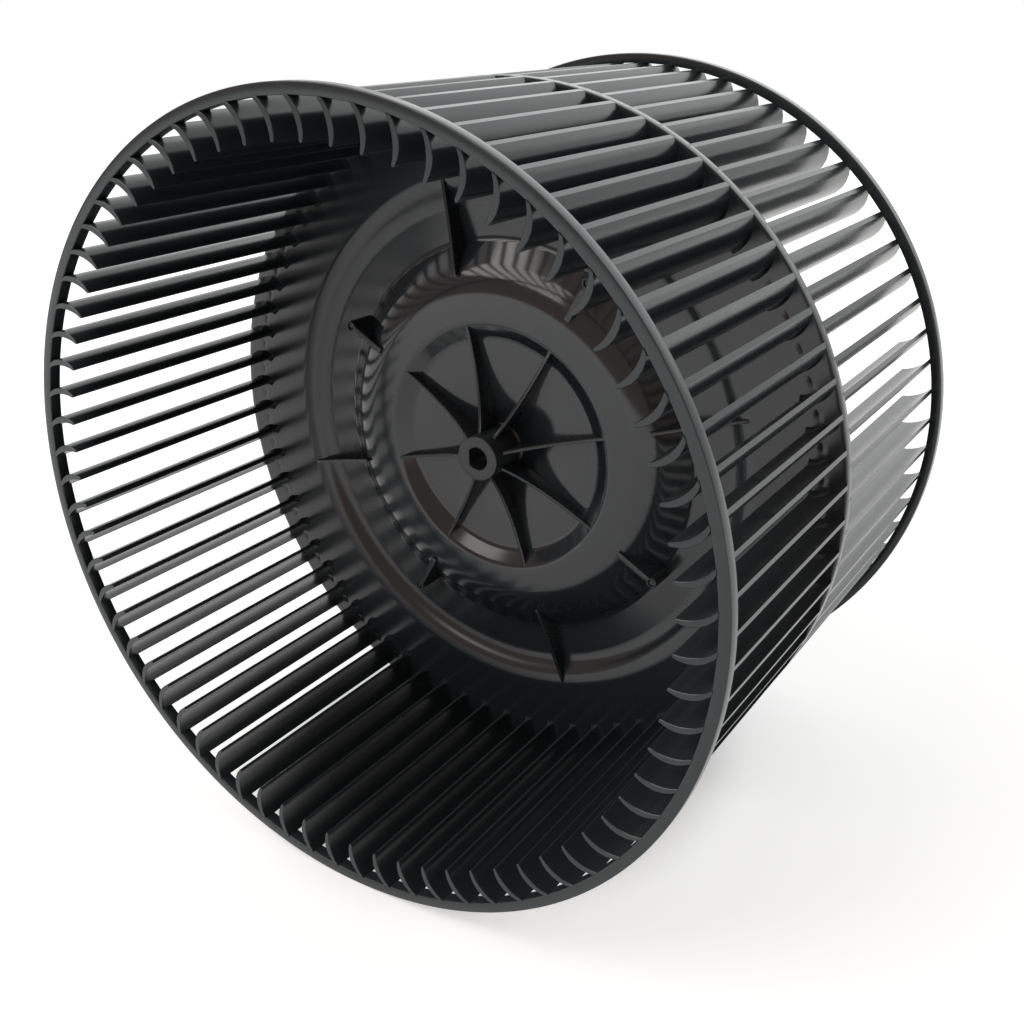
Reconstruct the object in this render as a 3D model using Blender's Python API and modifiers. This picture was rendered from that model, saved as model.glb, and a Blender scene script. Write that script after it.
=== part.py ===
"""Double-inlet blower wheel: two blade cages back to back on a dished centre plate.

Every piece is drawn about its own Z axis, with +Z towards the front inlet, under one
empty that lays the wheel on its side: the axis then runs along Y and the front faces -Y.
"""

import math

import bmesh
import bpy
from mathutils import Matrix
from mathutils.geometry import interpolate_bezier

# Whole wheel, in metres
WHEEL_RADIUS = 0.127
WHEEL_LENGTH = 0.1936
SEAT_GAP = 0.0003

# End rings, which stand outside the blades
RING_WALL = 0.0035
RING_WIDTH = 0.0042
RING_SETBACK = 0.0003
RING_SEGMENTS = 140

# Blades, forward curved, from the inner edge to the ring
BLADE_COUNT = 70
BLADE_DEPTH = 0.0118
BLADE_INLET_ANGLE = math.radians(-12)
BLADE_TURN = math.radians(64)
BLADE_THICKNESS = 0.0020
BLADE_EDGE = 0.0010
BLADE_BITE = 0.0002
BLADE_PHASE = math.radians(2.85)
BLADE_STATIONS = 5

# Centre plate, measured outwards from the hub
PLATE_THICKNESS = 0.0023
DISH_FLOOR_RADIUS = 0.0381
DISH_WALL_WIDTH = 0.0076
PLATEAU_WIDTH = 0.0143
CONE_WIDTH = 0.0109
VALLEY_WIDTH = 0.0127
STEP_WIDTH = 0.0113
STEP_LIP_WIDTH = 0.0024
STEP_LIP_DROP = 0.0005
DISH_DEPTH = 0.0038
PLATEAU_RISE = 0.0065
VALLEY_DEPTH = 0.0027
FOLD_CHAMFER = 0.0012
FOLD_SHARE_LIMIT = 0.45
PLATE_SEGMENTS = 60

# Hub boss, a flanged bush with a flat in its bore
BOSS_RADIUS = 0.008
BOSS_RISE = 0.0115
BOSS_CHAMFER = 0.0004
COLLAR_RADIUS = 0.013
COLLAR_THICKNESS = 0.002
STUB_LENGTH = 0.0053
BORE_RADIUS = 0.004
BORE_FLAT_DEPTH = 0.001
HUB_SEGMENTS = 36

# Hub ribs in the dish
RIB_COUNT = 8
RIB_THICKNESS = 0.0016
RIB_DROP = 0.0042
RIB_TIP = 0.0006
RIB_ROOT_RUN = 0.0077
RIB_ROOT_FALL = 0.005
RIB_TIP_RUN = 0.0152
RIB_TIP_SAG = 0.0018
RIB_STATIONS = 9
RIB_PHASE = math.radians(15)

# Gussets across the valley, long and short in turn, and the posts beside the short ones
GUSSET_THICKNESS = 0.0016
GUSSET_TIP = 0.0006
SHORT_GUSSET_LENGTH = 0.0101
SHORT_GUSSET_FALL = 0.0006
POST_RADIUS = 0.0015
POST_DROP = 0.0009
POST_SEGMENTS = 16

# Sizes that follow from those above
RING_INNER_RADIUS = WHEEL_RADIUS - RING_WALL
BLADE_OUTER_RADIUS = RING_INNER_RADIUS + BLADE_BITE
BLADE_INNER_RADIUS = BLADE_OUTER_RADIUS - BLADE_DEPTH
BLADE_PITCH = math.tau / BLADE_COUNT
BLADE_LENGTH = WHEEL_LENGTH / 2 - PLATE_THICKNESS / 2 - SEAT_GAP
BLADE_MIDDLE = PLATE_THICKNESS / 2 + SEAT_GAP + BLADE_LENGTH / 2

DISH_RADIUS = DISH_FLOOR_RADIUS + DISH_WALL_WIDTH
PLATEAU_RADIUS = DISH_RADIUS + PLATEAU_WIDTH
CONE_RADIUS = PLATEAU_RADIUS + CONE_WIDTH
VALLEY_RADIUS = CONE_RADIUS + VALLEY_WIDTH
STEP_RADIUS = VALLEY_RADIUS + STEP_WIDTH
SHORT_GUSSET_RADIUS = PLATEAU_RADIUS + SHORT_GUSSET_LENGTH

RIM_Z = PLATE_THICKNESS / 2
VALLEY_Z = RIM_Z - VALLEY_DEPTH
PLATEAU_Z = RIM_Z + PLATEAU_RISE
DISH_Z = PLATEAU_Z - DISH_DEPTH
BOSS_Z = PLATEAU_Z + BOSS_RISE
COLLAR_Z = DISH_Z - PLATE_THICKNESS - SEAT_GAP
STUB_Z = COLLAR_Z - COLLAR_THICKNESS - STUB_LENGTH

MERGE_DISTANCE = 1e-6


def clear_scene():
    """Empty the scene of whatever it starts with."""
    for old in list(bpy.data.objects):
        bpy.data.objects.remove(old, do_unlink=True)


def make_collection(name):
    """Add a collection to the scene."""
    collection = bpy.data.collections.new(name)
    bpy.context.scene.collection.children.link(collection)
    return collection


def make_material(name, color, roughness):
    """Black moulded plastic, told apart by its grey and its polish."""
    material = bpy.data.materials.new(name)
    material.use_nodes = True
    surface = material.node_tree.nodes["Principled BSDF"]
    surface.inputs["Base Color"].default_value = (*color, 1.0)
    surface.inputs["Roughness"].default_value = roughness
    surface.inputs["Metallic"].default_value = 0.0
    return material


def add_piece(name, data, material, rotation=(0.0, 0.0, 0.0)):
    """One named piece of the wheel, hung on the wheel's axis."""
    data.materials.append(material)
    piece = bpy.data.objects.new(name, data)
    piece.parent = axis
    piece.rotation_euler = rotation
    parts.objects.link(piece)
    return piece


def add_guide(name, mesh):
    """A body that only shapes other pieces."""
    guide = bpy.data.objects.new(name, mesh)
    guide.parent = axis
    guide.hide_render = True
    guide.display_type = "WIRE"
    cutters.objects.link(guide)
    return guide


def flat_outline(name, points, thickness):
    """A filled 2D outline, half its thickness to each side of its plane."""
    outline = bpy.data.curves.new(name, "CURVE")
    outline.dimensions = "2D"
    outline.fill_mode = "BOTH"
    outline.extrude = thickness / 2
    spline = outline.splines.new("POLY")
    spline.points.add(len(points) - 1)
    for point, (x, y) in zip(spline.points, points):
        point.co = (x, y, 0.0, 1.0)
    spline.use_cyclic_u = True
    return outline


def outline_mesh(name, points, thickness):
    """The same outline as a closed mesh, for copying and for Booleans."""
    curve = bpy.data.objects.new(name, flat_outline(name, points, thickness))
    cutters.objects.link(curve)
    evaluated = curve.evaluated_get(bpy.context.evaluated_depsgraph_get())
    mesh = bpy.data.meshes.new_from_object(evaluated)
    bpy.data.objects.remove(curve, do_unlink=True)
    body = bmesh.new()
    body.from_mesh(mesh)
    bmesh.ops.remove_doubles(body, verts=body.verts, dist=MERGE_DISTANCE)
    bmesh.ops.recalc_face_normals(body, faces=body.faces)
    body.to_mesh(mesh)
    body.free()
    return mesh


def profile_mesh(name, points, closed):
    """A wire in the XZ plane: radius along X, place on the axis along Z."""
    edges = [(index, index + 1) for index in range(len(points) - 1)]
    if closed:
        edges.append((len(points) - 1, 0))
    mesh = bpy.data.meshes.new(name)
    mesh.from_pydata([(radius, 0.0, z) for radius, z in points], edges, [])
    return mesh


def turn_profile(piece, segments):
    """Turn a profile once about the axis."""
    screw = piece.modifiers.new("turn", "SCREW")
    screw.axis = "Z"
    screw.angle = math.tau
    screw.steps = segments
    screw.render_steps = segments
    screw.use_merge_vertices = True
    screw.merge_threshold = MERGE_DISTANCE
    screw.use_smooth_shade = True


def combine(piece, guide, operation):
    """Join a guide body to a piece, or cut it out."""
    boolean = piece.modifiers.new(guide.name, "BOOLEAN")
    boolean.operation = operation
    boolean.solver = "EXACT"
    boolean.object = guide


def chamfered(points, size):
    """Cut each inner corner of a profile back by the same length along both sides."""
    result = [points[0]]
    for before, corner, after in zip(points, points[1:], points[2:]):
        for other in (before, after):
            reach = math.dist(corner, other)
            share = min(size / reach, FOLD_SHARE_LIMIT)
            result.append(tuple(c + (o - c) * share for c, o in zip(corner, other)))
    return result + [points[-1]]


def height_at(points, radius):
    """Where a profile stands on the axis at a radius."""
    for (r0, z0), (r1, z1) in zip(points, points[1:]):
        if r0 <= radius <= r1:
            return z0 + (z1 - z0) * (radius - r0) / (r1 - r0)
    return points[-1][1]


def profile_between(points, inner, outer):
    """The stretch of a profile between two radii."""
    middle = [point for point in points if inner < point[0] < outer]
    return [(inner, height_at(points, inner)), *middle, (outer, height_at(points, outer))]


def lifted(points, gap):
    """A profile moved off its front side by a gap, measured square to each stretch."""
    normals = []
    for (r0, z0), (r1, z1) in zip(points, points[1:]):
        length = math.hypot(r1 - r0, z1 - z0)
        normals.append(((z0 - z1) / length, (r1 - r0) / length))
    result = []
    for index, (radius, z) in enumerate(points):
        first = normals[max(index - 1, 0)]
        second = normals[min(index, len(normals) - 1)]
        mitre = gap / (1 + first[0] * second[0] + first[1] * second[1])
        outward = (first[0] + second[0]) * mitre
        upward = (first[1] + second[1]) * mitre
        result.append((radius + outward, z + upward))
    return result


def blade_outline():
    """A crescent about a circular arc, as (radius, tangential) points.

    Its inner edge is square to the arc, and its outer edge is cut along the wheel's own round.
    """
    chord_angle = BLADE_INLET_ANGLE + BLADE_TURN / 2
    across = BLADE_INNER_RADIUS * math.sin(chord_angle)
    along = BLADE_INNER_RADIUS * math.cos(chord_angle)
    chord = math.sqrt(BLADE_OUTER_RADIUS ** 2 - across ** 2) - along
    bend = chord / (2 * math.sin(BLADE_TURN / 2))
    concave = []
    convex = []
    for station in range(BLADE_STATIONS):
        share = station / (BLADE_STATIONS - 1)
        angle = BLADE_INLET_ANGLE + BLADE_TURN * share
        radius = BLADE_INNER_RADIUS + bend * (math.sin(angle) - math.sin(BLADE_INLET_ANGLE))
        tangent = bend * (math.cos(BLADE_INLET_ANGLE) - math.cos(angle))
        swell = (BLADE_THICKNESS - BLADE_EDGE) * math.sin(math.pi * share)
        half = (BLADE_EDGE + swell) / 2
        rise = half * math.sin(angle)
        lean = half * math.cos(angle)
        concave.append((radius - rise, tangent + lean))
        convex.append((radius + rise, tangent - lean))
    cut = half / math.cos(angle)
    concave[-1] = (radius, tangent + cut)
    convex[-1] = (radius, tangent - cut)
    return concave + convex[::-1]


def blade_bank(name, side, phase):
    """All the blades of one side, as loose bodies in one guide."""
    blade = outline_mesh(name + "_blade", blade_outline(), BLADE_LENGTH)
    place = Matrix.Translation((0.0, 0.0, side * BLADE_MIDDLE))
    bank = bmesh.new()
    for index in range(BLADE_COUNT):
        copy = blade.copy()
        copy.transform(Matrix.Rotation(phase + index * BLADE_PITCH, 4, "Z") @ place)
        bank.from_mesh(copy)
        bpy.data.meshes.remove(copy)
    bpy.data.meshes.remove(blade)
    mesh = bpy.data.meshes.new(name)
    bank.to_mesh(mesh)
    bank.free()
    return add_guide(name, mesh)


def blade_cage(name, side, phase, material):
    """An end ring with its blades; side is 1 at the front and -1 at the rear."""
    face = WHEEL_LENGTH / 2 - RING_SETBACK
    top, bottom = (face, face - RING_WIDTH) if side > 0 else (RING_WIDTH - face, -face)
    section = [
        (WHEEL_RADIUS, top),
        (WHEEL_RADIUS, bottom),
        (RING_INNER_RADIUS, bottom),
        (RING_INNER_RADIUS, top),
    ]
    cage = add_piece(name, profile_mesh(name, section, closed=True), material)
    turn_profile(cage, RING_SEGMENTS)
    combine(cage, blade_bank(name + "_blades", side, phase), "UNION")


def plate_profile():
    """The plate's front surface from the hub hole out to the rim."""
    folds = [
        (BOSS_RADIUS + SEAT_GAP, DISH_Z),
        (DISH_FLOOR_RADIUS, DISH_Z),
        (DISH_RADIUS, PLATEAU_Z),
        (PLATEAU_RADIUS, PLATEAU_Z),
        (CONE_RADIUS, VALLEY_Z),
        (VALLEY_RADIUS, VALLEY_Z),
    ]
    step = [
        (VALLEY_RADIUS + STEP_LIP_WIDTH, VALLEY_Z + STEP_LIP_DROP),
        (STEP_RADIUS - STEP_LIP_WIDTH, RIM_Z - STEP_LIP_DROP),
        (STEP_RADIUS, RIM_Z),
        (BLADE_OUTER_RADIUS, RIM_Z),
    ]
    return chamfered(folds, FOLD_CHAMFER) + step


def centre_plate(material):
    """The dished plate, one even wall thick."""
    surface = profile_mesh("centre_plate", plate_profile(), closed=False)
    plate = add_piece("centre_plate", surface, material)
    turn_profile(plate, PLATE_SEGMENTS)
    wall = plate.modifiers.new("wall", "SOLIDIFY")
    wall.thickness = PLATE_THICKNESS
    wall.offset = -1.0
    wall.use_even_offset = True


def hub_boss(material):
    """A bush through the plate, with a collar behind it and a flat along its bore."""
    section = [
        (0.0, BOSS_Z),
        (BOSS_RADIUS - BOSS_CHAMFER, BOSS_Z),
        (BOSS_RADIUS, BOSS_Z - BOSS_CHAMFER),
        (BOSS_RADIUS, COLLAR_Z),
        (COLLAR_RADIUS, COLLAR_Z),
        (COLLAR_RADIUS, COLLAR_Z - COLLAR_THICKNESS),
        (BOSS_RADIUS, COLLAR_Z - COLLAR_THICKNESS),
        (BOSS_RADIUS, STUB_Z),
        (0.0, STUB_Z),
    ]
    boss = add_piece("hub_boss", profile_mesh("hub_boss", section, closed=False), material)
    turn_profile(boss, HUB_SEGMENTS)
    flat = math.acos(BORE_FLAT_DEPTH / BORE_RADIUS - 1)
    shape = []
    for index in range(HUB_SEGMENTS):
        angle = -flat + 2 * flat * index / (HUB_SEGMENTS - 1)
        shape.append((BORE_RADIUS * math.cos(angle), BORE_RADIUS * math.sin(angle)))
    bore = add_guide("hub_bore", outline_mesh("hub_bore", shape, 2 * (BOSS_Z - STUB_Z)))
    bore.location.z = (BOSS_Z + STUB_Z) / 2
    combine(boss, bore, "DIFFERENCE")


def radial_plate(name, outline, angle, material):
    """A thin upright plate: its outline's X runs outwards and its Y along the axis."""
    add_piece(name, outline, material, rotation=(math.pi / 2, 0.0, angle))


def rib_outline():
    """From the boss down a hollow curve to the rim of the dish."""
    root = BOSS_RADIUS + SEAT_GAP
    bed = lifted(profile_between(plate_profile(), root, DISH_RADIUS), SEAT_GAP)
    top = BOSS_Z - RIB_DROP
    tip_radius = bed[-1][0]
    tip_z = bed[-1][1] + RIB_TIP
    curve = interpolate_bezier(
        (root, top),
        (root + RIB_ROOT_RUN, top - RIB_ROOT_FALL),
        (tip_radius - RIB_TIP_RUN, tip_z - RIB_TIP_SAG),
        (tip_radius, tip_z),
        RIB_STATIONS,
    )
    return [(point.x, point.y) for point in curve] + bed[::-1]


def gusset_outline(outer, outer_z):
    """A straight top edge over the plate's own profile, from the plateau outwards."""
    bed = lifted(profile_between(plate_profile(), PLATEAU_RADIUS, outer), SEAT_GAP)
    inner_top = (bed[0][0], PLATEAU_Z + GUSSET_TIP)
    outer_top = (bed[-1][0], outer_z)
    return [inner_top, outer_top] + bed[::-1]


def rib_angle(index):
    """The bearing of a rib, which the gusset outside it shares."""
    return RIB_PHASE + index * math.tau / RIB_COUNT


def hub_ribs(material):
    """Equal ribs that brace the boss."""
    for index in range(RIB_COUNT):
        outline = flat_outline("hub_rib", rib_outline(), RIB_THICKNESS)
        radial_plate(f"hub_rib_{index + 1}", outline, rib_angle(index), material)


def long_gussets(material):
    """Braces from the plateau over the valley to the step, outside every other rib."""
    shape = gusset_outline(STEP_RADIUS, RIM_Z + GUSSET_TIP)
    for number, index in enumerate(range(0, RIB_COUNT, 2), start=1):
        outline = flat_outline("long_gusset", shape, GUSSET_THICKNESS)
        radial_plate(f"long_gusset_{number}", outline, rib_angle(index), material)


def short_gussets(material):
    """Braces from the plateau down the cone, outside the ribs between."""
    shape = gusset_outline(SHORT_GUSSET_RADIUS, PLATEAU_Z + GUSSET_TIP - SHORT_GUSSET_FALL)
    for number, index in enumerate(range(1, RIB_COUNT, 2), start=1):
        outline = flat_outline("short_gusset", shape, GUSSET_THICKNESS)
        radial_plate(f"short_gusset_{number}", outline, rib_angle(index), material)


def locating_posts(material):
    """A round post at the outer end of each short gusset, stood on the plate."""
    reach = SHORT_GUSSET_RADIUS + SEAT_GAP + POST_RADIUS
    foot = height_at(plate_profile(), SHORT_GUSSET_RADIUS + SEAT_GAP) + SEAT_GAP
    top = PLATEAU_Z - POST_DROP
    for number, index in enumerate(range(1, RIB_COUNT, 2), start=1):
        post = bmesh.new()
        bmesh.ops.create_cone(
            post,
            cap_ends=True,
            segments=POST_SEGMENTS,
            radius1=POST_RADIUS,
            radius2=POST_RADIUS,
            depth=top - foot,
        )
        mesh = bpy.data.meshes.new("locating_post")
        post.to_mesh(mesh)
        post.free()
        piece = add_piece(f"locating_post_{number}", mesh, material)
        angle = rib_angle(index)
        piece.location = (reach * math.cos(angle), reach * math.sin(angle), (top + foot) / 2)


clear_scene()
parts = make_collection("blower_wheel")
cutters = make_collection("cutters")
axis = bpy.data.objects.new("wheel_axis", None)
axis.rotation_euler.x = math.pi / 2
parts.objects.link(axis)

cage_black = make_material("cage_black", (0.032, 0.034, 0.034), 0.42)
plate_black = make_material("plate_black", (0.026, 0.027, 0.029), 0.26)
hub_black = make_material("hub_black", (0.034, 0.035, 0.036), 0.36)
rib_black = make_material("rib_black", (0.028, 0.030, 0.031), 0.38)

blade_cage("front_blade_cage", 1, BLADE_PHASE, cage_black)
blade_cage("rear_blade_cage", -1, BLADE_PHASE + BLADE_PITCH / 2, cage_black)
centre_plate(plate_black)
hub_boss(hub_black)
hub_ribs(rib_black)
long_gussets(rib_black)
short_gussets(rib_black)
locating_posts(hub_black)
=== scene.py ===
import math

import bmesh
import bpy
from mathutils import Matrix, Vector
from mathutils.geometry import interpolate_bezier


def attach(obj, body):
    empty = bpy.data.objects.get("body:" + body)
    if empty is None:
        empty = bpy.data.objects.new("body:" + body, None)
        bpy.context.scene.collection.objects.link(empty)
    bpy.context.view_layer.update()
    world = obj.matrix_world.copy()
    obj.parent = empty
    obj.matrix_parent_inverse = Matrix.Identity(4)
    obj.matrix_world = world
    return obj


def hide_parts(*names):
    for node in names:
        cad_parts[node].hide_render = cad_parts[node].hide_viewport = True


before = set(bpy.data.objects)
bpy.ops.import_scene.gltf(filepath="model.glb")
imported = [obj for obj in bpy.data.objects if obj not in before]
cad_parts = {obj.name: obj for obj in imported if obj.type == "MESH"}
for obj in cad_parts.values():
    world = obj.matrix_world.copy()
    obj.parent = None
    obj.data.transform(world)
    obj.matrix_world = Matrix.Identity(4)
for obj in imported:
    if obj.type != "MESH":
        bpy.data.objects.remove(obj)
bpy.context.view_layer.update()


# Centre plate: one dished disc of black plastic halfway along the wheel, moulded in a polished
# tool. Both blade cages stand on its flat rim, and the hub and its ribs in the dish.
PLATE_RADIUS = 0.1237
PLATE_WALL = 0.0023
RIM_Y = -PLATE_WALL / 2
VALLEY_Y = RIM_Y + 0.0040
PLATEAU_Y = RIM_Y - 0.0065
DISH_Y = PLATEAU_Y + 0.0038
HUB_HOLE = 0.0079
# towards its edge the plate thickens backwards to a lip, which begins between two radii
LIP_WALL = 0.0043
LIP_RADII = (0.1222, 0.1216)
PLATE_EDGE = 0.0003
# radius, place along the axis and rounding of each fold, from the rim inwards
PLATE_FOLDS = [
    (0.0943, RIM_Y, 0.0008),
    (0.0902, RIM_Y + 0.0011, 0.0013),
    (0.0873, VALLEY_Y - 0.0009, 0.0013),
    (0.0840, VALLEY_Y, 0.0008),
    (0.0717, VALLEY_Y, 0.0012),
    (0.0602, PLATEAU_Y, 0.0060),
    (0.0448, PLATEAU_Y, 0.0012),
    (0.0391, DISH_Y, 0.0012),
]
FOLD_STEPS = 8
EDGE_ANGLE = math.radians(32)
TOLERANCE = 2e-5
PLATE_BLACK = (0.0175, 0.0225, 0.0275, 1.0)
PLATE_DUST = (0.045, 0.046, 0.046, 1.0)
PLATE_IOR = 1.53
# how fine the flow marks, the ripples and grain of the tool and the specks of dust are
FLOW_SCALE = 22.0
RIPPLE_SCALE = 60.0
TOOL_GRAIN_SCALE = 900.0
DUST_SCALE = 1900.0
DUST_LEVEL = 0.745
# outside the cone the tool was left more satin, between these radii
SATIN_REACH = (0.069, 0.078)
# both cages have as many blades, and the rear ones stand between the front ones
BLADE_COUNT = 70
BLADE_PITCH = math.tau / BLADE_COUNT
FRONT_PHASE = math.radians(2.85)
REAR_PHASE = FRONT_PHASE + BLADE_PITCH / 2
PLATE_SIDES = 6 * BLADE_COUNT
# radius, half-width and depth of the sink marks that the rear blades leave on the front, and
# the rings of corners that keep their shape, in half-widths from their middle
SINK_RADIUS = 0.1162
SINK_SPREAD = 0.0012
SINK_DEPTH = 0.0008
SINK_RINGS = (1.7, 1, 0, -1, -1.7)


def start_piece():
    """Lets go of everything, so that the next operator works on the new piece alone."""
    bpy.ops.object.select_all(action="DESELECT")


def take(piece, parts, want):
    """Selects only those verts, edges or faces of a piece in edit mode that pass a test."""
    bpy.ops.mesh.select_all(action="DESELECT")
    mesh = bmesh.from_edit_mesh(piece.data)
    for part in getattr(mesh, parts):
        if want(part):
            part.select_set(True)
    bmesh.update_edit_mesh(piece.data)


def take_rings(piece, want):
    """Selects the edges whose two ends pass a test on (radius from the axis, place along it)."""
    take(piece, "edges", lambda edge: all(want(math.hypot(end.co.x, end.co.z), end.co.y)
                                          for end in edge.verts))


def start_ring(sides, radius, along, turn=0.0):
    """A new piece in edit mode: one ring of edges round the wheel's axis, all selected."""
    start_piece()
    bpy.ops.mesh.primitive_circle_add(vertices=sides, radius=radius,
                                      location=(0.0, along, 0.0),
                                      rotation=(math.pi / 2, 0.0, 0.0))
    piece = bpy.context.object
    bpy.ops.object.transform_apply(location=True, rotation=True, scale=True)
    piece.rotation_euler.y = -turn
    bpy.ops.object.transform_apply(location=True, rotation=True, scale=True)
    bpy.ops.object.mode_set(mode="EDIT")
    return piece


def draw_rings(*rings):
    """Draws the selected ring, the first one given, out through the others.

    Each is a radius and a place along the wheel's axis.
    """
    for old, new in zip(rings, rings[1:]):
        bpy.ops.mesh.extrude_edges_move()
        share = new[0] / old[0]
        bpy.ops.transform.resize(value=(share, 1.0, share), center_override=(0.0, 0.0, 0.0))
        bpy.ops.transform.translate(value=(0.0, new[1] - old[1], 0.0))


def near(a, b):
    """Whether two lengths are the same but for rounding."""
    return abs(a - b) < TOLERANCE


def apply_modifier(piece, kind, **settings):
    """Adds a modifier with its settings and applies it at once."""
    modifier = piece.modifiers.new(kind.lower(), kind)
    for name, value in settings.items():
        setattr(modifier, name, value)
    bpy.ops.object.modifier_apply(modifier=modifier.name)


def round_edges(piece, width, steps):
    """Rounds every edge of a piece that turns by more than EDGE_ANGLE."""
    apply_modifier(piece, "BEVEL", width=width, segments=steps, limit_method="ANGLE",
                   angle_limit=EDGE_ANGLE, use_clamp_overlap=True)


def finish_piece(piece, name, material, slot, *nodes):
    """Names a piece, shades it and hangs it on the wheel in place of its CAD nodes."""
    bpy.ops.object.transform_apply(location=True, rotation=True, scale=True)
    bpy.ops.object.shade_smooth_by_angle(angle=EDGE_ANGLE)
    piece.name = name
    piece.data.name = name
    piece.data.materials.clear()
    piece.data.materials.append(material)
    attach(piece, "root")
    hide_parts(*nodes)


class Wire:
    """One output in a material's node tree. Arithmetic on it adds Math nodes."""

    def __init__(self, tree, socket):
        self.tree = tree
        self.socket = socket

    def node(self, kind, settings, sockets, output=0):
        """Adds a node: its settings first, then the values or links of its sockets."""
        made = self.tree.nodes.new(kind)
        for name, value in settings.items():
            setattr(made, name, value)
        for name, value in sockets.items():
            if isinstance(value, Wire):
                self.tree.links.new(value.socket, made.inputs[name])
            else:
                made.inputs[name].default_value = value
        return Wire(self.tree, made.outputs[output])

    def maths(self, operation, first, second):
        """One Math node on two wires or numbers."""
        return self.node("ShaderNodeMath", {"operation": operation}, {0: first, 1: second})

    def __add__(self, other):
        return self.maths("ADD", self, other)

    def __radd__(self, other):
        return self.maths("ADD", other, self)

    def __sub__(self, other):
        return self.maths("SUBTRACT", self, other)

    def __rsub__(self, other):
        return self.maths("SUBTRACT", other, self)

    def __mul__(self, other):
        return self.maths("MULTIPLY", self, other)

    def __rmul__(self, other):
        return self.maths("MULTIPLY", other, self)

    def __gt__(self, other):
        return self.maths("GREATER_THAN", self, other)

    def noise(self, scale, detail=2.0):
        """Even noise about 0.5 in metres of the piece's own coordinates."""
        return self.node("ShaderNodeTexNoise", {}, {"Vector": self, "Scale": scale,
                                                    "Detail": detail})

    def part(self, index):
        """The x, y or z part of coordinates."""
        return self.node("ShaderNodeSeparateXYZ", {}, {0: self}, output=index)

    def stretched(self, along):
        """The same coordinates with the wheel's axis drawn out or squeezed."""
        return self.node("ShaderNodeMapping", {}, {"Vector": self, "Scale": (1.0, along, 1.0)})

    def length(self, stretch):
        """How far from the origin, with each direction stretched."""
        drawn = self.node("ShaderNodeVectorMath", {"operation": "MULTIPLY"}, {0: self, 1: stretch})
        return self.node("ShaderNodeVectorMath", {"operation": "LENGTH"}, {0: drawn}, output=1)

    def blend(self, first, second):
        """From the first colour to the second as this goes from 0 to 1."""
        return self.node("ShaderNodeMix", {"data_type": "RGBA"},
                         {"Factor": self, 6: first, 7: second}, output=2)

    def eased(self, low, high, first=0.0, second=1.0):
        """From the first value to the second, with soft ends, as this goes from low to high."""
        return self.node("ShaderNodeMapRange", {"interpolation_type": "SMOOTHSTEP"},
                         {"Value": self, "From Min": low, "From Max": high,
                          "To Min": first, "To Max": second})

    def bump(self, distance, strength):
        """The surface's normals, with this as a height."""
        return self.node("ShaderNodeBump", {}, {"Height": self, "Distance": distance,
                                                "Strength": strength})


def new_finish(name):
    """A new material, with its shader and the coordinates of the piece that it is on."""
    material = bpy.data.materials.new(name)
    material.use_nodes = True
    tree = material.node_tree
    place = tree.nodes.new("ShaderNodeTexCoord")
    return material, tree.nodes["Principled BSDF"], Wire(tree, place.outputs["Object"])


def feed(surface, **wires):
    """Leads wires to the shader's sockets; an underscore stands for a space."""
    for name, wire in wires.items():
        wire.tree.links.new(wire.socket, surface.inputs[name.replace("_", " ")])


plate_finish, plate_surface, place = new_finish("polished_black_plate")
flow = place.noise(FLOW_SCALE, 3.0)
dust = place.noise(DUST_SCALE, 1.0) > DUST_LEVEL
outward = place.length((1.0, 0.0, 1.0)).eased(*SATIN_REACH)
feed(plate_surface,
     Base_Color=(dust * 0.6).blend(PLATE_BLACK, PLATE_DUST),
     Roughness=0.090 + flow * 0.075 + outward * 0.075 + dust * 0.2,
     Normal=(place.noise(RIPPLE_SCALE)
             + place.noise(TOOL_GRAIN_SCALE) * 0.02).bump(0.0004, 0.05))
plate_surface.inputs["IOR"].default_value = PLATE_IOR

plate = start_ring(PLATE_SIDES, PLATE_RADIUS, RIM_Y, REAR_PHASE)
lip_rings = [(radius, RIM_Y) for radius in LIP_RADII]
sink_rings = [(SINK_RADIUS + side * SINK_SPREAD, RIM_Y) for side in SINK_RINGS]
fold_rings = [(radius, along) for radius, along, _ in PLATE_FOLDS]
draw_rings((PLATE_RADIUS, RIM_Y), *lip_rings, *sink_rings, *fold_rings, (HUB_HOLE, DISH_Y))
take(plate, "verts", lambda corner: near(math.hypot(corner.co.x, corner.co.z), SINK_RADIUS)
     and near(math.remainder(math.atan2(corner.co.z, corner.co.x) - REAR_PHASE, BLADE_PITCH), 0))
bpy.ops.transform.translate(value=(0.0, SINK_DEPTH, 0.0))
for radius, along, rounding in PLATE_FOLDS:
    take_rings(plate, lambda r, y: near(r, radius) and near(y, along))
    bpy.ops.mesh.bevel(offset=rounding, segments=FOLD_STEPS, affect="EDGES")
bpy.ops.mesh.select_all(action="SELECT")
bpy.ops.mesh.normals_make_consistent(inside=False)
bpy.ops.object.mode_set(mode="OBJECT")
front_is_out = sum(face.normal.y * face.area for face in plate.data.polygons) < 0.0
apply_modifier(plate, "SOLIDIFY", thickness=PLATE_WALL, offset=-1.0 if front_is_out else 1.0,
               use_even_offset=True)
bpy.ops.object.mode_set(mode="EDIT")
take(plate, "verts", lambda corner: math.hypot(corner.co.x, corner.co.z) > sum(LIP_RADII) / 2)
bpy.ops.transform.resize(value=(1.0, LIP_WALL / PLATE_WALL, 1.0),
                         center_override=(0.0, RIM_Y, 0.0))
bpy.ops.object.mode_set(mode="OBJECT")
round_edges(plate, PLATE_EDGE, 2)
finish_piece(plate, "plate", plate_finish, "plate_plastic", "centre_plate")


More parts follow.
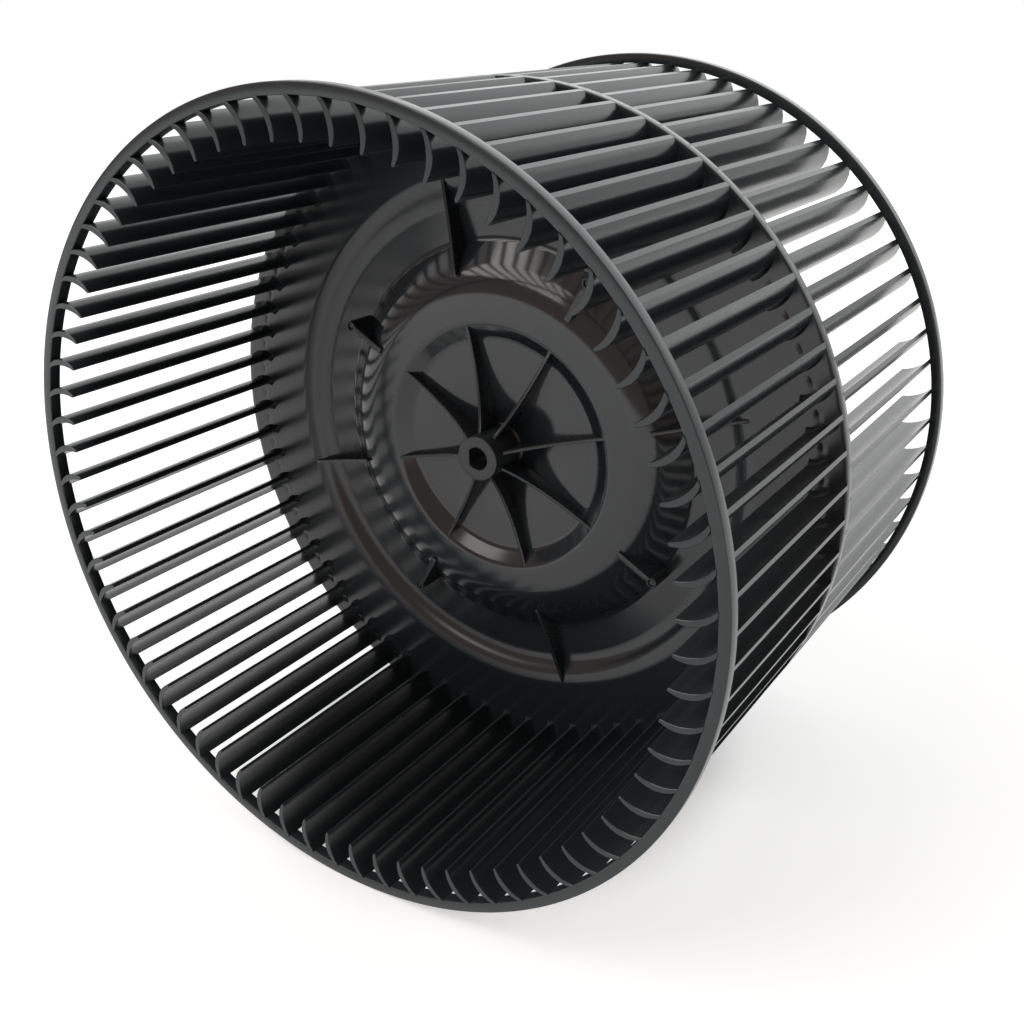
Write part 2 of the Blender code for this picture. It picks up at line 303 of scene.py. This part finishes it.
# Hub boss: a round bush of the same black plastic, moulded through the plate, with a collar
# behind it and a flat along its bore, so that it can't slip on the motor's shaft.
BOSS_RADIUS = 0.0080
BOSS_FRONT = PLATEAU_Y - 0.0115
COLLAR_RADIUS = 0.0130
COLLAR_GAP = 0.0003
COLLAR_WALL = 0.0020
STUB_LENGTH = 0.0053
COLLAR_FRONT = DISH_Y + PLATE_WALL + COLLAR_GAP
COLLAR_BACK = COLLAR_FRONT + COLLAR_WALL
STUB_BACK = COLLAR_BACK + STUB_LENGTH
BORE_RADIUS = 0.0040
BORE_FLAT = -0.0033
BOSS_SIDES = 96
BOSS_FILLET = 0.0012
FILLET_STEPS = 4
BOSS_EDGE = 0.0004
HUB_BLACK = (0.0110, 0.0145, 0.0170, 1.0)
HUB_SCUFF = (0.0190, 0.0220, 0.0235, 1.0)
HUB_IOR = 1.52
SCUFF_SCALE = 420.0
HUB_GRAIN_SCALE = 2600.0

hub_finish, hub_surface, place = new_finish("satin_black_hub")
scuffs = place.noise(SCUFF_SCALE, 4.0)
feed(hub_surface,
     Base_Color=(scuffs * 0.7).blend(HUB_BLACK, HUB_SCUFF),
     Roughness=0.26 + scuffs * 0.16,
     Normal=place.noise(HUB_GRAIN_SCALE, 2.0).bump(0.00006, 0.12))
hub_surface.inputs["IOR"].default_value = HUB_IOR

foot_rings = []
for step in range(FILLET_STEPS + 1):
    turn = math.pi / 2 * step / FILLET_STEPS
    foot_rings.append((BOSS_RADIUS + BOSS_FILLET * (1 - math.cos(turn)),
                       DISH_Y - BOSS_FILLET * (1 - math.sin(turn))))
hub_rings = [
    *foot_rings,
    (BOSS_RADIUS + BOSS_FILLET, DISH_Y + PLATE_WALL / 2),
    (BOSS_RADIUS, COLLAR_FRONT),
    (COLLAR_RADIUS, COLLAR_FRONT),
    (COLLAR_RADIUS, COLLAR_BACK),
    (BOSS_RADIUS, COLLAR_BACK),
    (BOSS_RADIUS, STUB_BACK),
    (BORE_RADIUS, STUB_BACK),
]
hub = start_ring(BOSS_SIDES, BOSS_RADIUS, BOSS_FRONT)
draw_rings((BOSS_RADIUS, BOSS_FRONT), *hub_rings)
mesh = bmesh.from_edit_mesh(hub.data)
for corner in mesh.verts:
    if corner.select:
        corner.co.x = max(corner.co.x, BORE_FLAT)
bmesh.update_edit_mesh(hub.data)
bpy.ops.mesh.extrude_edges_move()
bpy.ops.transform.translate(value=(0.0, BOSS_FRONT - STUB_BACK, 0.0))
take_rings(hub, lambda r, y: near(y, BOSS_FRONT))
bpy.ops.mesh.bridge_edge_loops()
bpy.ops.mesh.select_all(action="SELECT")
bpy.ops.mesh.remove_doubles(threshold=1e-6)
bpy.ops.mesh.normals_make_consistent(inside=False)
bpy.ops.object.mode_set(mode="OBJECT")
round_edges(hub, BOSS_EDGE, 3)
finish_piece(hub, "hub", hub_finish, "hub_plastic", "hub_boss")


# Hub ribs: eight thin upright webs, moulded with the plate, that brace the boss. Each falls in
# a hollow curve from the boss and runs out to a point on the rim of the dish.
WHEEL_TURN = math.radians(15.7)
RIB_COUNT = 8
RIB_BASE = 0.0017
RIB_TOP_SHARE = 0.72
RIB_TOP = BOSS_FRONT + 0.0042
RIB_TIP_RADIUS = 0.0477
RIB_TIP = PLATEAU_Y + 0.0001
RIB_STATIONS = 14
RIB_SINK = 0.0006
RIB_EDGE = 0.00028
# how far a rib reaches into the boss, the handles of its hollow curve, and its pointed end
RIB_ROOT = 0.0008
RIB_FALL_RADIUS = 0.0160
RIB_FALL = 0.0053
RIB_TAIL = 0.0155
RIB_TAIL_DIP = 0.0012
RIB_RUN_OUT = 0.004
RIB_POINT = 0.4
RIB_BLACK = (0.0110, 0.0145, 0.0175, 1.0)
RIB_SHINE = (0.0180, 0.0220, 0.0250, 1.0)
RIB_IOR = 1.52
DRAW_SCALE = 700.0
DRAW_STRETCH = 0.25

rib_finish, rib_surface, place = new_finish("moulded_black_rib")
draw = place.stretched(DRAW_STRETCH).noise(DRAW_SCALE, 3.0)
feed(rib_surface,
     Base_Color=(draw * 0.6).blend(RIB_BLACK, RIB_SHINE),
     Roughness=0.20 + draw * 0.16,
     Normal=draw.bump(0.00006, 0.1))
rib_surface.inputs["IOR"].default_value = RIB_IOR

PLATE_LINE = [(HUB_HOLE, DISH_Y)] + [(r, y) for r, y, _ in PLATE_FOLDS[::-1]]
PLATE_LINE.append((PLATE_RADIUS, RIM_Y))


def plate_at(radius):
    """Where the plate's front stands on the axis at a radius."""
    for (r0, y0), (r1, y1) in zip(PLATE_LINE, PLATE_LINE[1:]):
        if r0 <= radius <= r1:
            return y0 + (y1 - y0) * (radius - r0) / (r1 - r0)
    return RIM_Y


def upright_web(stations, base, top_share, edge):
    """A thin web along +X, drawn out station by station: (radius, top, bottom, width share)."""
    start_piece()
    radius, top, bottom, share = stations[0]
    bpy.ops.mesh.primitive_plane_add(size=1.0, location=(radius, (top + bottom) / 2, 0.0),
                                     rotation=(0.0, math.pi / 2, 0.0))
    web = bpy.context.object
    bpy.ops.object.transform_apply(location=True, rotation=True, scale=True)
    bpy.ops.object.mode_set(mode="EDIT")
    bpy.ops.transform.resize(value=(1.0, bottom - top, base * share),
                             center_override=(radius, (top + bottom) / 2, 0.0))
    old = stations[0]
    for new in stations[1:]:
        middle = (new[1] + new[2]) / 2
        bpy.ops.mesh.extrude_region_move()
        bpy.ops.transform.translate(value=(new[0] - old[0], middle - (old[1] + old[2]) / 2, 0.0))
        bpy.ops.transform.resize(
            value=(1.0, (new[2] - new[1]) / (old[2] - old[1]), new[3] / old[3]),
            center_override=(new[0], middle, 0.0))
        old = new
    take(web, "verts", lambda corner: near(corner.co.y, min(
        stations, key=lambda station: abs(station[0] - corner.co.x))[1]))
    bpy.ops.transform.resize(value=(1.0, 1.0, top_share), center_override=(0.0, 0.0, 0.0))
    bpy.ops.mesh.select_all(action="SELECT")
    bpy.ops.mesh.normals_make_consistent(inside=False)
    bpy.ops.object.mode_set(mode="OBJECT")
    round_edges(web, edge, 2)
    return web


def set_round(first, bearings, name, material, slot, nodes):
    """Copies a piece to each bearing, with a mesh for each, and clears the first away."""
    for number, bearing in enumerate(bearings, start=1):
        copy = first.copy()
        copy.data = first.data.copy()
        copy.data.transform(Matrix.Rotation(-bearing, 4, "Y"))
        bpy.context.scene.collection.objects.link(copy)
        start_piece()
        copy.select_set(True)
        bpy.context.view_layer.objects.active = copy
        finish_piece(copy, f"{name}_{number}", material, slot, f"{nodes}_{number}")
    bpy.data.objects.remove(first, do_unlink=True)


rib_curve = interpolate_bezier(
    Vector((BOSS_RADIUS - RIB_ROOT, RIB_TOP, 0.0)),
    Vector((RIB_FALL_RADIUS, RIB_TOP + RIB_FALL, 0.0)),
    Vector((RIB_TIP_RADIUS - RIB_TAIL, RIB_TIP + RIB_TAIL_DIP, 0.0)),
    Vector((RIB_TIP_RADIUS, RIB_TIP, 0.0)),
    RIB_STATIONS)
rib_stations = []
for point in rib_curve:
    bottom = max(plate_at(max(point.x, HUB_HOLE)) + RIB_SINK, point.y + RIB_SINK)
    run_out = min(1.0, (RIB_TIP_RADIUS - point.x) / RIB_RUN_OUT + RIB_POINT)
    rib_stations.append((point.x, point.y, bottom, run_out))
bearings = [WHEEL_TURN + index * math.tau / RIB_COUNT for index in range(RIB_COUNT)]
set_round(upright_web(rib_stations, RIB_BASE, RIB_TOP_SHARE, RIB_EDGE), bearings,
          "rib", rib_finish, "rib_plastic", "hub_rib")


# Long gussets: four thin webs of the plate, outside every other rib, that stiffen its folds.
# Each runs straight from the plateau over the valley to the top of the step.
GUSSET_BASE = 0.0017
GUSSET_PROUD = 0.0009
GUSSET_SAG = 0.0006
GUSSET_SINK = 0.0016
GUSSET_START = PLATEAU_Y + 0.0006
LONG_GUSSET_IN = 0.0618
LONG_GUSSET_OUT = 0.0940
LONG_GUSSET_STEPS = 16
gusset_stations = []
for step in range(LONG_GUSSET_STEPS + 1):
    share = step / LONG_GUSSET_STEPS
    radius = LONG_GUSSET_IN + (LONG_GUSSET_OUT - LONG_GUSSET_IN) * share
    top = GUSSET_START * (1 - share) + (RIM_Y - GUSSET_PROUD * (1 - share)) * share
    top += GUSSET_SAG * math.sin(math.pi * share)
    gusset_stations.append((radius, top, max(plate_at(radius), top) + GUSSET_SINK, 1.0))
set_round(upright_web(gusset_stations, GUSSET_BASE, RIB_TOP_SHARE, RIB_EDGE), bearings[0::2],
          "gusset_long", rib_finish, "rib_plastic", "long_gusset")


# Short gussets: four stubby webs outside the other four ribs, level with the plateau. Each
# ends in an upright edge near the foot of the cone.
SHORT_GUSSET_BASE = 0.0026
SHORT_GUSSET_TOP_SHARE = 0.86
SHORT_GUSSET_IN = 0.0572
SHORT_GUSSET_OUT = 0.0708
SHORT_GUSSET_STEPS = 8
SHORT_GUSSET_PROUD = 0.0004
SHORT_GUSSET_EDGE = 0.00016
gusset_stations = []
for step in range(SHORT_GUSSET_STEPS + 1):
    radius = SHORT_GUSSET_IN + (SHORT_GUSSET_OUT - SHORT_GUSSET_IN) * step / SHORT_GUSSET_STEPS
    top = PLATEAU_Y - SHORT_GUSSET_PROUD
    gusset_stations.append((radius, top, max(plate_at(radius), top) + GUSSET_SINK, 1.0))
stub = upright_web(gusset_stations, SHORT_GUSSET_BASE, SHORT_GUSSET_TOP_SHARE,
                   SHORT_GUSSET_EDGE)
set_round(stub, bearings[1::2], "gusset_short", rib_finish, "rib_plastic", "short_gusset")


# Locating posts: four small round pins, moulded on the outer ends of the short gussets, each
# with a dimple in its end where the tool's ejector pin pushed.
POST_RADIUS = 0.0019
POST_OVERLAP = 0.0003
POST_PROUD = 0.0001
POST_ROOT = 0.0004
POST_PLACE = SHORT_GUSSET_OUT + POST_RADIUS - POST_OVERLAP
POST_TOP = PLATEAU_Y - SHORT_GUSSET_PROUD - POST_PROUD
POST_FOOT = VALLEY_Y + POST_ROOT
POST_SIDES = 32
POST_RIM = 0.0006
POST_DIMPLE = 0.0009
DIMPLE_TAPER = 0.0002
POST_EDGE = 0.0002

start_piece()
bpy.ops.mesh.primitive_cylinder_add(vertices=POST_SIDES, radius=POST_RADIUS,
                                    depth=POST_FOOT - POST_TOP,
                                    location=(POST_PLACE, (POST_FOOT + POST_TOP) / 2, 0.0),
                                    rotation=(math.pi / 2, 0.0, 0.0))
post = bpy.context.object
bpy.ops.object.transform_apply(location=True, rotation=True, scale=True)
bpy.ops.object.mode_set(mode="EDIT")
take(post, "faces", lambda face: face.normal.y < -0.9)
bpy.ops.mesh.inset(thickness=POST_RIM, depth=0.0)
bpy.ops.mesh.inset(thickness=DIMPLE_TAPER, depth=-POST_DIMPLE)
bpy.ops.object.mode_set(mode="OBJECT")
round_edges(post, POST_EDGE, 2)
set_round(post, bearings[1::2], "post", hub_finish, "hub_plastic", "locating_post")


# Blades: seventy forward-curved vanes to each cage, moulded in one shot with their end ring.
# A vane is thickest in the middle, with a rounded inner edge and a small fillet at its foot.
BLADE_INNER = 0.1119
BLADE_OUTER = 0.1237
BLADE_INLET = math.radians(-12)
BLADE_CAMBER = math.radians(64)
BLADE_THICK = 0.0020
BLADE_THIN = 0.0010
BLADE_STEPS = 6
BLADE_FOOT = RIM_Y + 0.0002
BLADE_END = 0.0968
INNER_EDGE = 0.00035
END_EDGE = 0.00015
FOOT_FILLET = 0.0013
FOOT_REACH = 0.4
OUTER_CUT = BLADE_INLET + BLADE_CAMBER
# places along the axis where the fillet at a blade's foot ends and the straight vane begins
FOOT_LEVELS = [RIM_Y - 0.0021, RIM_Y - 0.0029]
CAGE_BLACK = (0.0255, 0.0325, 0.0375, 1.0)
CAGE_BLOOM = (0.0310, 0.0385, 0.0420, 1.0)
CAGE_IOR = 1.46
STREAK_SCALE = 260.0
STREAK_STRETCH = 0.08
CAGE_GRAIN_SCALE = 3200.0

cage_finish, cage_surface, place = new_finish("satin_black_cage")
streaks = place.stretched(STREAK_STRETCH).noise(STREAK_SCALE, 3.0)
grain = place.noise(CAGE_GRAIN_SCALE, 2.0)
feed(cage_surface,
     Base_Color=(streaks * 0.8).blend(CAGE_BLACK, CAGE_BLOOM),
     Roughness=0.16 + streaks * 0.08 + grain * 0.03,
     Normal=(grain + streaks * 1.5).bump(0.00008, 0.12))
cage_surface.inputs["IOR"].default_value = CAGE_IOR

chord_lean = BLADE_INLET + BLADE_CAMBER / 2
chord = (math.sqrt(BLADE_OUTER ** 2 - (BLADE_INNER * math.sin(chord_lean)) ** 2)
         - BLADE_INNER * math.cos(chord_lean))
bend = chord / (2 * math.sin(BLADE_CAMBER / 2))
bend_centre = Vector((BLADE_INNER - bend * math.sin(BLADE_INLET), 0.0,
                      bend * math.cos(BLADE_INLET)))


def blade_station(step):
    """The middle of the vane's section, and the way across it, at one step along its curve."""
    angle = BLADE_INLET + BLADE_CAMBER * step / BLADE_STEPS
    across = Vector((-math.sin(angle), 0.0, math.cos(angle)))
    return bend_centre - across * bend, across


def vane_width(share, foot):
    """The vane's thickness at a share of its curve, with the fillet's spread at its foot."""
    return BLADE_THIN + (BLADE_THICK - BLADE_THIN) * math.sin(math.pi * share) + 2 * foot


start_piece()
bpy.ops.mesh.primitive_plane_add(size=BLADE_THIN, location=(0.0, 0.0, 0.0))
blade = bpy.context.object
bpy.ops.object.mode_set(mode="EDIT")
middle, across = blade_station(0)
mesh = bmesh.from_edit_mesh(blade.data)
bmesh.ops.delete(mesh, geom=mesh.verts[2:], context="VERTS")
mesh.verts.ensure_lookup_table()
mesh.verts[0].co = middle + across * BLADE_THIN / 2
mesh.verts[1].co = middle - across * BLADE_THIN / 2
bmesh.update_edit_mesh(blade.data)
bpy.ops.mesh.select_all(action="SELECT")
bpy.ops.mesh.spin(steps=BLADE_STEPS, angle=BLADE_CAMBER, center=bend_centre, axis=(0, 1, 0))
bpy.ops.mesh.select_all(action="SELECT")
bpy.ops.transform.translate(value=(0.0, BLADE_FOOT, 0.0))
old_place = BLADE_FOOT
for along in [*FOOT_LEVELS, -BLADE_END]:
    bpy.ops.mesh.extrude_region_move()
    bpy.ops.transform.translate(value=(0.0, along - old_place, 0.0))
    old_place = along
mesh = bmesh.from_edit_mesh(blade.data)
for corner in mesh.verts:
    spot = Vector((corner.co.x, 0.0, corner.co.z))
    step = min(range(BLADE_STEPS + 1), key=lambda s: (blade_station(s)[0] - spot).length)
    middle, across = blade_station(step)
    side = math.copysign(0.5, (spot - middle).dot(across))
    along = Vector((across.z, 0.0, -across.x))
    foot = FOOT_FILLET * (1 - step / BLADE_STEPS) if near(corner.co.y, BLADE_FOOT) else 0.0
    width = vane_width(step / BLADE_STEPS, foot)
    spot = middle + across * side * width
    if step == 0:
        spot -= along * foot * FOOT_REACH
    if step == BLADE_STEPS:
        spot += along * side * width * math.tan(OUTER_CUT)
    corner.co.x, corner.co.z = spot.x, spot.z
bmesh.update_edit_mesh(blade.data)
bpy.ops.mesh.select_all(action="SELECT")
bpy.ops.mesh.normals_make_consistent(inside=False)
inner_middle = blade_station(0)[0]
take(blade, "edges", lambda edge: all(
    (Vector((end.co.x, 0.0, end.co.z)) - inner_middle).length < BLADE_THICK for end in edge.verts)
    and not near(edge.verts[0].co.y, edge.verts[1].co.y))
bpy.ops.mesh.bevel(offset=INNER_EDGE, segments=2, affect="EDGES")
take(blade, "edges", lambda edge: all(near(end.co.y, -BLADE_END) for end in edge.verts)
     and any(abs(face.normal.y) < 0.5 for face in edge.link_faces))
bpy.ops.mesh.bevel(offset=END_EDGE, segments=1, affect="EDGES")
bpy.ops.object.mode_set(mode="OBJECT")


# End rings: a square-edged hoop round the outer ends of each cage's blades, moulded with them,
# that ties the blades together. The blades stand a hair proud of its face.
RING_RADIUS = 0.1270
RING_INNER = 0.1235
RING_FACE = 0.0965
RING_WIDTH = 0.0042
RING_SIDES = 280
RING_EDGE = 0.00035


def make_cage(name, node, side, phase):
    """One cage, with side -1 at the front and 1 at the rear: the hoop, then its blades."""
    face = side * RING_FACE
    inboard = side * (RING_FACE - RING_WIDTH)
    cage = start_ring(RING_SIDES, RING_RADIUS, face)
    draw_rings((RING_RADIUS, face), (RING_RADIUS, inboard), (RING_INNER, inboard),
               (RING_INNER, face))
    take_rings(cage, lambda r, y: near(y, face))
    bpy.ops.mesh.bridge_edge_loops()
    bpy.ops.mesh.select_all(action="SELECT")
    bpy.ops.mesh.normals_make_consistent(inside=False)
    bpy.ops.object.mode_set(mode="OBJECT")
    round_edges(cage, RING_EDGE, 3)
    for number in range(BLADE_COUNT):
        vane = blade.copy()
        vane.data = blade.data.copy()
        if side > 0:
            vane.data.transform(Matrix.Scale(-1.0, 4, (0.0, 1.0, 0.0)))
            vane.data.flip_normals()
        bearing = phase + number * BLADE_PITCH
        vane.data.transform(Matrix.Rotation(-bearing, 4, "Y"))
        bpy.context.scene.collection.objects.link(vane)
        vane.select_set(True)
    cage.select_set(True)
    bpy.context.view_layer.objects.active = cage
    bpy.ops.object.join()
    finish_piece(cage, name, cage_finish, "cage_plastic", node)


make_cage("front_cage", "front_blade_cage", -1, FRONT_PHASE)
make_cage("rear_cage", "rear_blade_cage", 1, REAR_PHASE)
bpy.data.objects.remove(blade, do_unlink=True)


# Floor: a plain white sheet that the wheel lies on, on its side, as in the photograph.
# The camera and the plastic's gloss see it as white paper, and it keeps the wheel's shadow, with a
# painted shadow under the wheel where its glow fades out.
FLOOR_Z = -RING_RADIUS
FLOOR_SIZE = 4.4
FLOOR_WHITE = (0.80, 0.80, 0.80, 1.0)
FLOOR_GLOW = (0.61, 0.80)
FLOOR_GLOW_REACH = (0.20, 1.00)
FLOOR_ROUGHNESS = 0.9
# half-widths of the painted shadow under the wheel, where the floor's glow is taken away, and
# where its soft edge begins and ends
PAINTED_SHADOW_HALF_WIDTHS = (0.078, 0.09)
PAINTED_SHADOW_EDGE = (0.6, 1.25)
SEEN_RAYS = ("Camera", "Glossy", "Transmission")


def rays_of(tree, *kinds):
    """1 for a ray of one of these kinds, and 0 for any other."""
    path = tree.nodes.new("ShaderNodeLightPath")
    wires = [Wire(tree, path.outputs[f"Is {kind} Ray"]) for kind in kinds]
    return sum(wires[1:], wires[0])


start_piece()
bpy.ops.mesh.primitive_plane_add(size=FLOOR_SIZE, location=(0.0, 0.0, FLOOR_Z))
floor = bpy.context.object
floor.name = "floor"
bpy.ops.object.transform_apply(location=True, rotation=True, scale=True)
floor_finish, floor_surface, place = new_finish("white_sheet")
floor_surface.inputs["Base Color"].default_value = FLOOR_WHITE
floor_surface.inputs["Roughness"].default_value = FLOOR_ROUGHNESS
floor_surface.inputs["Specular IOR Level"].default_value = 0.0
tree = floor_finish.node_tree
seen = rays_of(tree, *SEEN_RAYS)
away = place.length((1.0, 1.0, 0.0)).eased(*FLOOR_GLOW_REACH, *FLOOR_GLOW)
# the floor's glow fades out in a soft patch under the wheel: a painted shadow, seen dark through
# the blades
clear = place.length((1.0 / PAINTED_SHADOW_HALF_WIDTHS[0], 1.0 / PAINTED_SHADOW_HALF_WIDTHS[1], 0.0)).eased(*PAINTED_SHADOW_EDGE)
glow = seen.node("ShaderNodeEmission", {}, {"Strength": seen * away * clear})
both = seen.node("ShaderNodeAddShader", {}, {0: Wire(tree, floor_surface.outputs[0]), 1: glow})
tree.links.new(both.socket, tree.nodes["Material Output"].inputs["Surface"])
floor.data.materials.append(floor_finish)


# Light: a white room that is dimmer up in front of the wheel, a broad soft lamp high in front
# on the left, and a wide lit panel behind and above, which the blades catch at a slant.
ROOM_LIGHT = 0.50
ROOM_WHITE = (1.0, 1.0, 1.0, 1.0)
ROOM_FRONT = (0.46, 0.35, 0.29, 1.0)
# how far back and up a direction points where the dimmer part of the room fades
DIM_BACK = (-0.5, 0.1)
DIM_UP = (-0.16, -0.01)
KEY_PLACE = Vector((-0.70, -1.05, 1.22))
KEY_SIZE = (1.3, 1.0)
KEY_POWER = 14.0
KEY_TINT = (1.0, 0.99, 0.96)
PANEL_PLACE = Vector((0.0, 1.75, 1.0))
PANEL_SIZE = (2.6, 1.2)
PANEL_POWER = 8.6
PANEL_TINT = (0.93, 1.0, 0.98)

world = bpy.data.worlds.new("white_room")
bpy.context.scene.world = world
world.use_nodes = True
tree = world.node_tree
watched = rays_of(tree, "Camera")
seen = rays_of(tree, *SEEN_RAYS)
way = Wire(tree, tree.nodes.new("ShaderNodeTexCoord").outputs["Generated"])
dim = way.part(1).eased(*DIM_BACK, 1.0, 0.0) * way.part(2).eased(*DIM_UP)
feed(tree.nodes["Background"],
     Color=(dim * (1.0 - watched)).blend(ROOM_WHITE, ROOM_FRONT),
     Strength=ROOM_LIGHT + seen * (1.0 - ROOM_LIGHT))


def soft_lamp(name, place, size, power, tint):
    """A flat soft lamp turned to face the wheel."""
    lamp = bpy.data.objects.new(name, bpy.data.lights.new(name, "AREA"))
    lamp.data.shape = "RECTANGLE"
    lamp.data.size, lamp.data.size_y = size
    lamp.data.energy = power
    lamp.data.color = tint
    lamp.location = place
    lamp.rotation_euler = (-place).to_track_quat("-Z", "Y").to_euler()
    bpy.context.scene.collection.objects.link(lamp)


soft_lamp("key_lamp", KEY_PLACE, KEY_SIZE, KEY_POWER, KEY_TINT)
soft_lamp("back_panel", PANEL_PLACE, PANEL_SIZE, PANEL_POWER, PANEL_TINT)


# Camera: at the photograph's place, a little above the wheel and to the right of its front.
CAMERA_PLACE = (0.21822, -0.33559, 0.14661)
CAMERA_AIM = Vector((-0.49682, 0.77138, -0.39767))
CAMERA_LENS = 41.85
SENSOR_WIDTH = 36.0
NEAREST = 0.01

camera = bpy.data.objects.new("camera", bpy.data.cameras.new("camera"))
camera.data.lens = CAMERA_LENS
camera.data.sensor_width = SENSOR_WIDTH
camera.data.clip_start = NEAREST
camera.location = CAMERA_PLACE
camera.rotation_euler = CAMERA_AIM.to_track_quat("-Z", "Y").to_euler()
bpy.context.scene.collection.objects.link(camera)
bpy.context.scene.camera = camera
bpy.context.scene.view_settings.view_transform = "Standard"
